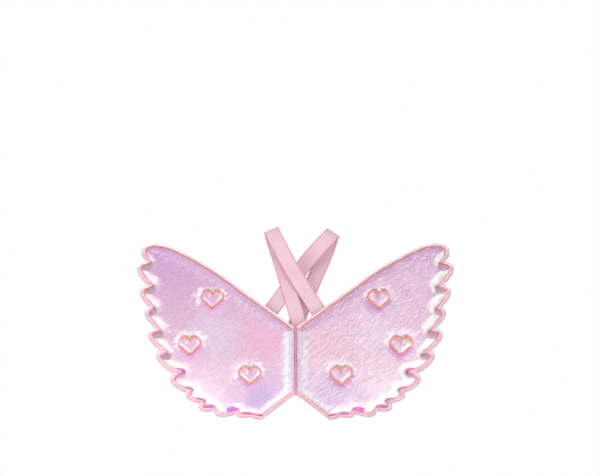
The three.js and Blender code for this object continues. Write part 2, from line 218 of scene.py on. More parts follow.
def wing_outline():
    """The right wing's edge and stitching line in millimetres, point for point, and where they are sharp."""
    cad_edge, cad_stitch = cad_rings("right_wing_front_cover")
    corners = corner_indices(cad_edge)
    lengths = np.linalg.norm(np.roll(cad_edge, -1, axis=0) - cad_edge, axis=1)
    counts = np.maximum(1, np.round(lengths / EDGE_STEP)).astype(int)
    edge = smooth_ring(cad_edge, corners, counts)
    starts = np.concatenate(([0], np.cumsum(counts)))
    new_corners = [int(starts[i]) for i in corners]
    width = np.linalg.norm(cad_edge[5] - cad_stitch[5])
    stitch = stitching(edge, new_corners, cad_stitch[corners], width)
    return edge, stitch, new_corners


# ---- hearts --------------------------------------------------------------------------------------
def heart_line(node, step):
    """The middle of a heart's stitching as (x, z) in millimetres: two round lobes and straight sides."""
    low, high = (np.array(corner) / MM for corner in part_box(node))
    band = 2.2
    width, height = high[0] - low[0] - band, high[2] - low[2] - band
    centre = (low + high)[[0, 2]] / 2
    radius = 0.2537 * width
    lobe = np.array((width / 2 - radius, height / 2 - radius))
    tip = np.array((0, -height / 2))
    away = lobe - tip
    lean = math.atan2(away[1], away[0]) - math.asin(radius / np.linalg.norm(away))
    first = lean - math.pi / 2  # where the straight side touches the lobe
    last = math.pi - math.acos(lobe[0] / radius)  # where the lobe meets the middle
    touch = lobe + radius * np.array((math.cos(first), math.sin(first)))
    side = np.linspace(tip, touch, max(2, int(np.linalg.norm(touch - tip) / step)), endpoint=False)
    turn = np.linspace(first, last, max(4, int(radius * (last - first) / step)) + 1)
    arc = lobe + radius * np.stack((np.cos(turn), np.sin(turn)), axis=1)
    right = np.concatenate((side, arc))
    left = right[1:-1][::-1] * (-1, 1)
    return centre + np.concatenate((right, left))


# ---- cloth ---------------------------------------------------------------------------------------
def inside(points, ring):
    """Which points lie inside a closed ring."""
    hits = np.zeros(len(points), bool)
    for a, b in zip(ring, np.roll(ring, -1, axis=0)):
        spans = (a[1] > points[:, 1]) != (b[1] > points[:, 1])
        if a[1] != b[1]:
            hits ^= spans & (points[:, 0] < a[0] + (points[:, 1] - a[1]) * (b[0] - a[0]) / (b[1] - a[1]))
    return hits


def nearest(points, others):
    """Each point's distance to the nearest of the others."""
    tree = kdtree.KDTree(len(others))
    for i, p in enumerate(others):
        tree.insert((p[0], p[1], 0), i)
    tree.balance()
    return np.array([tree.find((p[0], p[1], 0))[2] for p in points])


def sheet_triangles(border, lines, spacing, seed):
    """An even triangle mesh inside border, with points and edges along each of the closed lines."""
    fixed = np.concatenate([border, *lines])
    low, high = border.min(axis=0), border.max(axis=0)
    rise = spacing * math.sqrt(3) / 2
    rows, columns = (int(n) for n in (high - low)[::-1] / (rise, spacing) + 1)
    grid = np.array([(low[0] + (c + 0.5 * (r % 2)) * spacing, low[1] + r * rise)
                     for r in range(rows) for c in range(columns)])
    grid += np.random.default_rng(seed).uniform(-0.12, 0.12, grid.shape) * spacing
    grid = grid[inside(grid, border)]
    grid = grid[nearest(grid, fixed) > 0.62 * spacing]
    edges, first = [], len(border)
    for line in lines:
        ids = np.arange(len(line)) + first
        edges += zip(ids.tolist(), np.roll(ids, -1).tolist())
        first += len(line)
    points = [Vector(p) for p in np.concatenate((fixed, grid)).tolist()]
    verts, _, faces, _, _, _ = geometry.delaunay_2d_cdt(points, edges, [list(range(len(border)))], 1, 1e-4)
    return np.array([tuple(v) for v in verts]), faces


def inflate(flat_points, faces, lift, pinned, pressure, slack):
    """Blender's cloth blown up from a flat sheet, in millimetres, held where pinned. Returns its lift.

    Points are (x, z), lift is how far each stands off the sheet's plane towards the viewer.
    """
    mesh = bpy.data.meshes.new("cloth")
    start = np.stack((flat_points[:, 0], -lift, flat_points[:, 1]), axis=1) * MM * SIM_SCALE
    mesh.from_pydata(start.tolist(), [], faces)
    cloth = bpy.data.objects.new("cloth", mesh)
    bpy.context.scene.collection.objects.link(cloth)
    pins = cloth.vertex_groups.new(name="pins")
    pins.add([int(i) for i in np.flatnonzero(pinned)], 1.0, "REPLACE")
    modifier = cloth.modifiers.new("cloth", "CLOTH")
    modifier.point_cache.frame_start, modifier.point_cache.frame_end = 1, SIM_FRAMES
    settings = modifier.settings
    settings.vertex_group_mass = "pins"
    settings.quality = 6
    settings.mass = 0.15
    settings.air_damping = 2.0
    settings.tension_stiffness = settings.compression_stiffness = 30
    settings.shear_stiffness = 12
    settings.bending_stiffness = 0.6
    settings.tension_damping = settings.compression_damping = settings.shear_damping = 8
    settings.shrink_min = -slack
    settings.use_pressure = True
    settings.uniform_pressure_force = pressure
    settings.effector_weights.gravity = 0
    modifier.collision_settings.use_collision = False
    scene = bpy.context.scene
    for number in range(1, SIM_FRAMES + 1):
        scene.frame_set(number)
    settled = cloth.evaluated_get(bpy.context.evaluated_depsgraph_get()).data
    points = np.empty(len(flat_points) * 3)
    settled.vertices.foreach_get("co", points)
    bpy.data.objects.remove(cloth)
    bpy.data.meshes.remove(mesh)
    scene.frame_set(1)
    return points.reshape(-1, 3) / (MM * SIM_SCALE)


def neighbours(faces, count):
    """The mesh's edges both ways, and how many each point has."""
    triangles = np.array([tuple(face) for face in faces])
    pairs = np.concatenate((triangles[:, [0, 1]], triangles[:, [1, 2]], triangles[:, [2, 0]]))
    pairs = np.unique(np.concatenate((pairs, pairs[:, ::-1])), axis=0)
    return pairs, np.bincount(pairs[:, 0], minlength=count)


def relaxed(heights, held, faces, target, reach, rounds):
    """Heights of a soft filled sheet: held points stay, the rest rise to the target within `reach`."""
    pairs, degree = neighbours(faces, len(heights))
    stiffness = GRID ** 2 / (4 * reach ** 2)
    heights = heights.copy()
    free = ~held
    for _ in range(rounds):
        mean = np.bincount(pairs[:, 0], heights[pairs[:, 1]], minlength=len(heights)) / degree
        heights[free] = ((mean + stiffness * target) / (1 + stiffness))[free]
    return heights


def padded_lift(points, faces, border, hearts):
    """How far the wadding lifts each point of a wing's front off the plane of its edge stitching."""
    from_heart = nearest(points, np.concatenate(hearts))
    within = np.any([inside(points, heart) for heart in hearts], axis=0)
    held = np.arange(len(points)) < len(border) + sum(len(heart) for heart in hearts)
    start = np.where(held, HEART_LIFT, PUFF)
    start[: len(border)] = 0
    near = relaxed(start, held | within, faces, PUFF, EDGE_ROLL, 150)
    near[within] = HEART_LIFT + HEART_PUFF * (1 - np.exp(-((from_heart[within] / HEART_ROLL) ** 1.5)))
    start[len(border):] = PUFF
    far = relaxed(start, np.arange(len(points)) < len(border), faces, PUFF, CROWN_REACH, 1200)
    return (1 - CROWN) * near + CROWN * far


def gathers(points, lines, strengths, seed):
    """Small puckers square to the stitching, strongest next to it, with a strength for each line's points."""
    every = np.concatenate(lines)
    walked = np.concatenate([np.cumsum(np.linalg.norm(np.diff(line, axis=0, prepend=line[:1]), axis=1)) + 200 * k
                             for k, line in enumerate(lines)])
    strength = np.concatenate(strengths)
    tree = kdtree.KDTree(len(every))
    for i, p in enumerate(every):
        tree.insert((p[0], p[1], 0), i)
    tree.balance()
    lift = np.zeros(len(points))
    for k, p in enumerate(points):
        _, i, gap = tree.find((p[0], p[1], 0))
        if 0 < gap < 4 * GATHER_REACH:
            wave = noise.noise((walked[i] / GATHER_PITCH, gap / 14, seed))
            lift[k] = strength[i] * wave * gap / GATHER_REACH * math.exp(1 - gap / GATHER_REACH)
    return lift


# ---- meshes --------------------------------------------------------------------------------------
def mesh_piece(name, points, faces, *materials, smooth=True):
    """A mesh object from points in millimetres."""
    mesh = bpy.data.meshes.new(name)
    mesh.from_pydata((np.asarray(points) * MM).tolist(), [], [tuple(int(i) for i in face) for face in faces])
    for material in materials:
        mesh.materials.append(material)
    if smooth:
        mesh.polygons.foreach_set("use_smooth", [True] * len(mesh.polygons))
    mesh.validate()
    piece = bpy.data.objects.new(name, mesh)
    bpy.context.scene.collection.objects.link(piece)
    return piece


def thicken(piece, thickness, offset=-1):
    """Gives an open surface its thickness, in millimetres."""
    solid = piece.modifiers.new("thickness", "SOLIDIFY")
    solid.thickness, solid.offset = thickness * MM, offset
    bpy.context.view_layer.update()
    mesh = bpy.data.meshes.new_from_object(piece.evaluated_get(bpy.context.evaluated_depsgraph_get()))
    piece.modifiers.clear()
    old, piece.data = piece.data, mesh
    name = old.name
    bpy.data.meshes.remove(old)
    mesh.name = name


def loft(rings, closed=True, first=0):
    """Faces between rings of equal size, with the ends closed where `closed`."""
    rows, size = len(rings), len(rings[0])
    faces = []
    for r in range(rows - 1):
        for i in range(size):
            j = (i + 1) % size
            a, b = first + r * size, first + (r + 1) * size
            faces.append((a + i, a + j, b + j, b + i))
    if closed:
        faces.append(tuple(first + i for i in reversed(range(size))))
        faces.append(tuple(first + (rows - 1) * size + i for i in range(size)))
    return faces


def unit(vectors):
    return vectors / np.maximum(np.linalg.norm(vectors, axis=-1, keepdims=True), 1e-9)


def stitches(name, path, out, length, gap, width, thickness, material, lean=0.0, closed=True):
    """A row of separate stitches that lies on a path. `out` points off the cloth at each point."""
    path, out = np.asarray(path, float), np.asarray(out, float)
    if closed:
        path, out = np.vstack((path, path[:1])), np.vstack((out, out[:1]))
    walked = np.concatenate(([0], np.cumsum(np.linalg.norm(np.diff(path, axis=0), axis=1))))
    count = max(1, round(walked[-1] / (length + gap)))
    pitch = walked[-1] / count
    points, faces = [], []
    turn = np.linspace(0, 2 * math.pi, 6, endpoint=False)
    for number in range(count):
        places = (number + np.linspace(0.5 * gap / pitch, 1 - 0.5 * gap / pitch, 5)) * pitch
        centre = np.stack([np.interp(places, walked, path[:, k]) for k in range(3)], axis=1)
        up = unit(np.stack([np.interp(places, walked, out[:, k]) for k in range(3)], axis=1))
        along = unit(np.gradient(centre, axis=0))
        side = unit(np.cross(along, up))
        size = np.array((0.35, 0.9, 1.0, 0.9, 0.35))[:, None]
        centre = centre + up * (size - 0.8) * thickness + side * np.linspace(-lean, lean, 5)[:, None]
        rings = [c + width / 2 * s * np.outer(np.cos(turn), a) + thickness / 2 * s * np.outer(np.sin(turn), u)
                 for c, s, a, u in zip(centre, size, side, up)]
        faces += loft(rings, first=len(points))
        points += [p for ring in rings for p in ring]
    return mesh_piece(name, points, faces, material)


def satin(name, path, out, pitch, width, thickness, material):
    """Satin stitching: short threads laid side by side across a closed path, over a padded band."""
    path, out = np.vstack((path, path[:1])), np.vstack((out, out[:1]))
    walked = np.concatenate(([0], np.cumsum(np.linalg.norm(np.diff(path, axis=0), axis=1))))
    places = np.linspace(0, walked[-1], max(3, round(walked[-1] / pitch)), endpoint=False)
    centre = np.stack([np.interp(places, walked, path[:, k]) for k in range(3)], axis=1)
    ahead = np.roll(centre, -1, axis=0) - np.roll(centre, 1, axis=0)
    along = unit(ahead)
    up = unit(np.stack([np.interp(places, walked, out[:, k]) for k in range(3)], axis=1))
    side = unit(np.cross(along, up))
    across = unit(side + 0.35 * along)
    points, faces = [], []
    turn = np.linspace(0, 2 * math.pi, 5, endpoint=False)
    for c, a, u, f in zip(centre, across, up, along):
        rings = []
        for share in (-1, -0.72, -0.3, 0.3, 0.72, 1):
            arch = thickness * (math.sqrt(max(0.0, 1 - (0.96 * share) ** 2)) - 0.35)
            middle = c + a * share * width / 2 + u * arch
            rings.append(middle + 0.62 * pitch * (np.outer(np.cos(turn), f) + np.outer(np.sin(turn), u)))
        faces += loft(rings, first=len(points))
        points += [p for ring in rings for p in ring]
    band_rings = []
    for c, s, u in zip(centre, side, up):
        band_rings.append(np.array([c + s * x * width / 2 + u * y * thickness for x, y in
                                    ((-1, -0.5), (-0.7, 0.25), (0, 0.55), (0.7, 0.25), (1, -0.5), (0, -0.8))]))
    band_rings.append(band_rings[0])
    faces += loft(band_rings, closed=False, first=len(points))
    points += [p for ring in band_rings for p in ring]
    piece = mesh_piece(name, points, faces, material)
    merge(piece, 0.001)
    return piece


def merge(piece, distance):
    """Joins points that lie within `distance` millimetres."""
    work = bmesh.new()
    work.from_mesh(piece.data)
    bmesh.ops.remove_doubles(work, verts=work.verts, dist=distance * MM)
    bmesh.ops.recalc_face_normals(work, faces=work.faces)
    work.to_mesh(piece.data)
    work.free()


# ---- wings ---------------------------------------------------------------------------------------
def flange(edge, stitch, base, towards):
    """Rows of points from the stitching out to the edge: a soft roll that bulges `towards` -1 or 1 in y."""
    rows = []
    on_seam = edge[:, 0] < edge[:, 0].min() + 0.01
    for share in FLANGE_ROWS:
        xz = stitch + (edge - stitch) * share
        xz[on_seam, 0] = stitch[on_seam, 0] + (SEAM_HALF - stitch[on_seam, 0]) * share
        bulge = np.full(len(edge), FLANGE_BULGE[towards])
        bulge[on_seam] = 0.25
        roll = math.sin(math.pi * share ** 0.8) ** 0.7 if share < 1 else 0.0
        y = base + (FLANGE_EDGE + 0.1 * towards - base) * share ** 3 + towards * bulge * roll
        rows.append(np.stack((xz[:, 0], y, xz[:, 1]), axis=1))
    return rows


def facing(points, line, outwards, reach):
    """The way a line faces where it is nearest to each point, as (outwards, up), fading out over `reach`."""
    tree = kdtree.KDTree(len(line))
    for i, p in enumerate(line):
        tree.insert((p[0], p[1], 0), i)
    tree.balance()
    found = [tree.find((p[0], p[1], 0)) for p in points]
    fade = np.array([math.exp(-((gap / reach) ** 2)) for _, _, gap in found])
    return outwards[[i for _, i, _ in found]] * fade[:, None]


def beside_notches(points, notches, shift, radii):
    """How far into an oval beside its nearest notch each point lies: 1 in the middle, 0 at the rim."""
    middles = notches + shift
    gaps = (points[:, None, :] - middles[None, :, :]) / radii
    return np.clip(1 - (gaps ** 2).sum(axis=2).min(axis=1), 0, 1)


def cover_mesh(name, sheet, faces, rows, near_heart, rims, sign, towards, material):
    """A cover: the inflated sheet inside the stitching and the flange's rows outside it. Its material is
    told each point's place and slope at rest, where the flange is, and how near the hearts and notches are."""
    count = len(rows[0])
    points = np.concatenate((sheet, *rows))
    strip = []
    first = 0
    for r in range(len(rows)):
        second = len(sheet) + r * count
        for i in range(count):
            j = (i + 1) % count
            strip.append((first + i, first + j, second + j, second + i))
        first = second
    all_faces = [tuple(f) for f in faces] + strip
    points = points * (sign, 1, 1)
    if sign * towards > 0:
        all_faces = [f[::-1] for f in all_faces]
    piece = mesh_piece(name, points, all_faces, material)
    place = piece.data.attributes.new("place", "FLOAT_VECTOR", "POINT")
    place.data.foreach_set("vector", points.ravel())
    slope = piece.data.attributes.new("slope", "FLOAT_VECTOR", "POINT")
    normals = np.zeros(3 * len(points), dtype=np.float32)
    piece.data.vertex_normals.foreach_get("vector", normals)
    slope.data.foreach_set("vector", normals)
    roll = piece.data.attributes.new("flange", "FLOAT", "POINT")
    roll.data.foreach_set("value", [0.0] * len(sheet) + [1.0] * (len(rows) * count))
    dimple = piece.data.attributes.new("dimple", "FLOAT", "POINT")
    depth = np.exp(-((near_heart / DIMPLE_REACH) ** 2))
    dimple.data.foreach_set("value", np.concatenate((depth, np.zeros(len(rows) * count))))
    for rim_name, rim in rims.items():
        attribute = piece.data.attributes.new(rim_name, "FLOAT_VECTOR", "POINT")
        vectors = np.zeros((len(points), 3))
        vectors[:len(sheet), :rim.shape[1]] = rim
        attribute.data.foreach_set("vector", vectors.ravel())
    return piece


def front_cover(side, outline, hearts):
    """The pearl cover of one wing, blown up against its wadding. Returns it and the right-handed sheet."""
    edge, stitch, corners = outline
    flat, faces = sheet_triangles(stitch, hearts, GRID, seed=3 if side == "left" else 8)
    lift = padded_lift(flat, faces, stitch, hearts)
    held = len(stitch) + sum(len(heart) for heart in hearts)
    sheet = inflate(flat, faces, lift, np.arange(len(flat)) < held, SIM_PRESSURE[side], SLACK)
    start = np.stack((flat[:, 0], -lift, flat[:, 1]), axis=1)
    sheet = start + SIM_CAP * np.tanh((sheet - start) / SIM_CAP)
    outside = ~np.any([inside(flat, heart) for heart in hearts], axis=0)
    on_seam = stitch[:, 0] < stitch[:, 0].min() + 0.01
    strengths = [np.where(on_seam, GATHER_DEPTH["seam"], GATHER_DEPTH["edge"])]
    strengths += [np.full(len(heart), GATHER_DEPTH["heart"]) for heart in hearts]
    puckers = gathers(flat, [stitch, *hearts], strengths, 7.0 if side == "left" else 31.0)
    sheet[:, 1] += FLANGE_FRONT - outside * puckers
    rows = flange(edge, stitch, FLANGE_FRONT, -1)
    node = f"{side}_wing_front_cover"
    near_heart = nearest(flat, np.concatenate(hearts))
    near_heart[~outside] = 2 * DIMPLE_REACH
    every = np.concatenate(hearts)
    from_middle = unit(np.concatenate([heart - heart.mean(axis=0) for heart in hearts]))
    notches = stitch[[i for i in corners if stitch[i, 0] > NOTCHES_FROM]]
    pocket_shade = beside_notches(flat, notches[notches[:, 1] > POCKETS_ABOVE], *POCKET)
    crescent = beside_notches(flat, notches[notches[:, 1] < POCKETS_ABOVE], *CRESCENT)
    rims = {"rim": facing(flat, stitch, unit(edge - stitch), RIM_REACH),
            "notch": np.stack((pocket_shade, crescent), axis=1),
            "heart_rim": facing(flat, every, from_middle, HEART_RIM_REACH) * outside[:, None]}
    cover = cover_mesh(f"{side}_wing_pearl_cover", sheet, faces, rows, near_heart, rims, SIDES[side], -1,
                       pearl_leather())
    thicken(cover, SHEET)
    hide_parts(node)
    return cover, sheet


def back_cover(side, outline, hearts):
    """The lining of one wing: nearly flat, a little puffed away from the patch, dimpled at the hearts."""
    edge, stitch, _ = outline
    flat, faces = sheet_triangles(stitch, hearts, BACK_GRID, seed=5)
    patch_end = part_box("back_patch")[1][0] / MM
    clear = np.clip((flat[:, 0] - patch_end) / 35, 0, 1)
    clear = clear * clear * (3 - 2 * clear)
    from_edge = nearest(flat, stitch)
    from_heart = nearest(flat, np.concatenate(hearts))
    lift = BACK_PUFF * clear * (1 - np.exp(-from_edge / BACK_ROLL)) * (1 - 0.6 * np.exp(-from_heart / 5))
    sheet = np.stack((flat[:, 0], FLANGE_BACK + lift, flat[:, 1]), axis=1)
    rows = flange(edge, stitch, FLANGE_BACK, 1)
    lining_piece = cover_mesh(f"{side}_wing_lining", sheet, faces, rows, from_heart, {},
                              SIDES[side], 1, lining())
    thicken(lining_piece, SHEET)
    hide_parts(f"{side}_wing_back_cover")
    ahead = np.roll(edge, -1, axis=0)
    tuple(np.ptp(edge, axis=0) * MM)
    return lining_piece, sheet


def wadding_piece(side, stitch, front, back):
    """The wadding between a wing's covers, closed round its edge."""
    middle = stitch.mean(axis=0)
    border = middle + (stitch[::5] - middle) * 0.955
    flat, faces = sheet_triangles(border, [], 2 * BACK_GRID, seed=2)
    rim = len(border)
    layers = []
    for sheet, gap in ((front, SHEET + 0.6), (back, -SHEET - 0.6)):
        tree = kdtree.KDTree(len(sheet))
        for i, p in enumerate(sheet):
            tree.insert((p[0], p[2], 0), i)
        tree.balance()
        near = [[sheet[i][1] for _, i, _ in tree.find_n((p[0], p[1], 0), 4)] for p in flat]
        inner = np.max(near, axis=1) + gap if gap > 0 else np.min(near, axis=1) + gap
        layers.append(np.stack((flat[:, 0], inner, flat[:, 1]), axis=1))
    layers[0][:rim, 1] = layers[1][:rim, 1] = FLANGE_EDGE
    points = np.concatenate((layers[0], layers[1][rim:])) * (SIDES[side], 1, 1)
    shift = len(flat) - rim
    rear = [tuple(i if i < rim else i + shift for i in reversed(face)) for face in faces]
    all_faces = [tuple(face) for face in faces] + rear
    if side == "left":
        all_faces = [face[::-1] for face in all_faces]
    wadding_body = mesh_piece(f"{side}_wing_wadding", points, all_faces, wadding())
    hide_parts(f"{side}_wing_padding")
    return wadding_body


def wing(side, outline, hearts):
    """One padded wing with its stitching."""
    sign = SIDES[side]
    edge, stitch, corners = outline
    body = f"{side}_wing"
    mirror = np.array((sign, 1, 1))
    cover, front = front_cover(side, outline, hearts)
    rear_cover, back = back_cover(side, outline, hearts)
    filling = wadding_piece(side, stitch, front, back)

    outer_run = np.arange(0, corners[-1] + 1)  # the edge apart from the side along the seam
    run = stitch[outer_run]
    ahead = unit(np.gradient(run, axis=0))
    outward = np.stack((-ahead[:, 1], ahead[:, 0]), axis=1)
    front_path = np.stack((run[:, 0], np.full(len(run), FLANGE_FRONT - 0.9), run[:, 1]), axis=1) * mirror
    front_out = np.stack((0.25 * outward[:, 0], np.full(len(run), -1.0), 0.25 * outward[:, 1]), axis=1) * mirror
    needle = stitches(f"{side}_wing_edge_stitches", front_path, front_out, 3.3, 0.35, 1.8, 1.2,
                      thread(), lean=0.1, closed=False)
    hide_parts(f"{side}_wing_edge_needle_thread")
    back_path = front_path * (1, 0, 1) + (0, FLANGE_BACK + 0.45, 0)
    back_out = np.tile((0.0, 1.0, 0.0), (len(run), 1))
    bobbin = stitches(f"{side}_wing_edge_bobbin_stitches", back_path, back_out, 3.1, 0.55, 0.9, 0.7,
                      thread(), lean=0.1, closed=False)
    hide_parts(f"{side}_wing_edge_bobbin_thread")

    first = len(stitch)
    for name, heart in zip(HEARTS, hearts):
        ring = front[first:first + len(heart)] * mirror
        first += len(heart)
        out = np.tile((0.0, -1.0, 0.0), (len(ring), 1))
        satin_heart = satin(f"{side}_wing_{name}_satin_heart", ring + (0, -0.55, 0), out,
                            0.5, 2.1, 1.5, thread())
        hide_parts(f"{side}_wing_{name}_heart_stitching")
        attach(satin_heart, body)

    for piece in (cover, rear_cover, filling, needle, bobbin):
        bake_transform(piece)


# ---- straps --------------------------------------------------------------------------------------
def route(keys, step):
    """Evenly spaced samples of a smooth line through the keys, whose first three numbers are the place."""
    keys = np.array(keys, float)
    ends = np.vstack((2 * keys[:1] - keys[1:2], keys, 2 * keys[-1:] - keys[-2:-1]))
    samples = []
    for p0, p1, p2, p3 in zip(ends, ends[1:], ends[2:], ends[3:]):
        t = np.cumsum([0] + [math.sqrt(np.linalg.norm((b - a)[:3])) for a, b in ((p0, p1), (p1, p2), (p2, p3))])
        count = max(2, int(np.linalg.norm((p2 - p1)[:3]) / step))
        for u in np.linspace(t[1], t[2], count, endpoint=False):
            a1 = p0 + (p1 - p0) * (u - t[0]) / (t[1] - t[0])
            a2 = p1 + (p2 - p1) * (u - t[1]) / (t[2] - t[1])
            a3 = p2 + (p3 - p2) * (u - t[2]) / (t[3] - t[2])
            b1 = a1 + (a2 - a1) * (u - t[0]) / (t[2] - t[0])
            b2 = a2 + (a3 - a2) * (u - t[1]) / (t[3] - t[1])
            samples.append(b1 + (b2 - b1) * (u - t[1]) / (t[2] - t[1]))
    return np.array(samples + [keys[-1]])


def leg(loop, x, lean):
    """The keys of a sewn end, from its cut end up to the line that the strap swings about."""
    drift = math.tan(math.radians(lean))
    keys = []
    for below, cut in ((SEWN_DEEP, lean), (SEWN_DEEP * 0.57, lean * 0.5), (SEWN_TOP, 0), (0.0, 0)):
        keys.append((x + drift * below, loop["layer"], SWING_Z - below, lean, cut))
    return keys


def strap(side, loop):
    """One shoulder strap: a single length of elastic from one sewn end over the shoulder to the other."""
    keys = leg(loop, *loop["outer"]) + [(*key, key[3]) for key in loop["keys"]]
    keys += leg(loop, *loop["inner"])[::-1]
    samples = route(keys, STRAP_STEP)
    centre, square, cut = samples[:, :3], np.radians(samples[:, 3]), np.radians(samples[:, 4])
    across = np.stack((np.cos(cut), np.zeros(len(cut)), np.sin(cut)), axis=1)
    along = unit(np.gradient(centre, axis=0))
    out = unit(np.cross(along, across))
    half = STRAP_WIDTH / 2 / np.cos(square - cut)
    profile = [(x, 1) for x in STRAP_COLUMNS] + [(-x, -1) for x in STRAP_COLUMNS]
    rings = []
    for c, a, o, h in zip(centre, across, out, half):
        rings.append(np.array([c + a * h * x + o * y * STRAP_THICK / 2 * edge_height(x) for x, y in profile]))
    points = np.concatenate(rings)
    piece = mesh_piece(f"{side}_elastic_strap", points, loft(rings), elastic())
    lay_out(piece, rings, profile, centre)
    merge_normals(piece)
    nodes = (f"{side}_strap", f"{side}_strap_outer_end", f"{side}_strap_inner_end")
    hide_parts(*nodes)
    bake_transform(piece)
    return piece


def edge_height(x):
    """The strap's thickness falls off at its woven edges."""
    return 0.25 + 0.75 * math.sqrt(1 - x ** 4) if abs(x) < 1 else 0.25


def lay_out(piece, rings, profile, centre):
    """UVs in millimetres along and across the strap, for its weave."""
    walked = np.concatenate(([0], np.cumsum(np.linalg.norm(np.diff(centre, axis=0), axis=1))))
    size = len(profile)
    layer = piece.data.uv_layers.new(name="weave")
    for loop in piece.data.loops:
        row, column = divmod(loop.vertex_index, size)
        layer.data[loop.index].uv = (profile[column][0] * STRAP_WIDTH / 2, walked[row])


def merge_normals(piece):
    work = bmesh.new()
    work.from_mesh(piece.data)
    bmesh.ops.recalc_face_normals(work, faces=work.faces)
    work.to_mesh(piece.data)
    work.free()


def tack_stitches(side, loop, end):
    """The open box of stitches over a sewn end."""
    x, lean = loop[end]
    node = f"{side}_strap_{end}_tack"
    low, high = (np.array(corner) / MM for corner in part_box(node))
    centre = (low + high) / 2
    turn = math.radians(lean)
    path = []
    for a, b in ((-5.5, 1.5), (-5.5, -3), (5.5, -3), (5.5, 3), (-5.5, 3)):
        path.append(centre + (a * math.cos(turn) - b * math.sin(turn), 0,
                              a * math.sin(turn) + b * math.cos(turn)))
    sides = [np.linspace(a, b, 6, endpoint=False) for a, b in zip(path, path[1:])]
    dense = np.concatenate(sides + [path[-1:]])
    piece = stitches(f"{side}_strap_{end}_box_stitches", dense, np.tile((0.0, -1.0, 0.0), (len(dense), 1)),
                     2.2, 0.4, 0.75, 0.35, thread(), closed=False)
    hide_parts(node)
    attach(piece, "back")


# ---- patch and seam ------------------------------------------------------------------------------
def rounded_rectangle(half_width, half_height, radius, steps=8):
    points = []
    for first, x, z in ((0, 1, 1), (90, -1, 1), (180, -1, -1), (270, 1, -1)):
        for angle in np.radians(np.linspace(first, first + 90, steps)):
            points.append((x * (half_width - radius) + radius * math.cos(angle),
                           z * (half_height - radius) + radius * math.sin(angle)))
    return np.array(points)


def patch():
    """The back patch: a folded fabric pad with a thin stitched border, flat where the wearer's back is."""
    low, high = (np.array(corner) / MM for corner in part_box("back_patch"))
    half_width, half_height = high[0], high[2]
    thick = high[1] - low[1]
    corner, border = 7.0, 5.0
    outline = rounded_rectangle(half_width, half_height, corner)
    rings = []
    sections = ((1.2, low[1] + 0.05), (0.25, low[1] + 0.2), (0, low[1] + 0.45), (0.3, low[1] + 0.8),
                (2.2, low[1] + 0.95), (3.0, low[1] + 0.75), (border - 1.2, low[1] + 1.0),
                (border - 0.4, high[1] - 0.25), (border + 0.5, high[1]))
    for inset, y in sections:
        scale = ((half_width - inset) / half_width, (half_height - inset) / half_height)
        ring = outline * scale
        rings.append(np.stack((ring[:, 0], np.full(len(ring), y), ring[:, 1]), axis=1))
    piece = mesh_piece("back_patch_fabric", np.concatenate(rings), loft(rings), lining())
    merge_normals(piece)
    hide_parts("back_patch")
    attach(piece, "back")

    line = rounded_rectangle(half_width - border / 2, half_height - border / 2, corner - border / 2)
    ring = np.vstack((line, line[:1]))
    dense = np.concatenate([np.linspace(a, b, max(2, int(np.linalg.norm(b - a) / 1.5)), endpoint=False)
                            for a, b in zip(ring, ring[1:])])
    path = np.stack((dense[:, 0], np.full(len(dense), low[1] + 1.05), dense[:, 1]), axis=1)
    seam = stitches("patch_border_stitches", path, np.tile((0.0, 1.0, 0.0), (len(path), 1)),
                    2.6, 0.5, 0.85, 0.6, thread())
    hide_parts("patch_stitching")
    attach(seam, "back")


# ---- materials -----------------------------------------------------------------------------------
_materials = {}


def shared(build):
    """Each material is made once and used by all its pieces."""
    def get():
        if build.__name__ not in _materials:
            _materials[build.__name__] = build()
        return _materials[build.__name__]
    return get


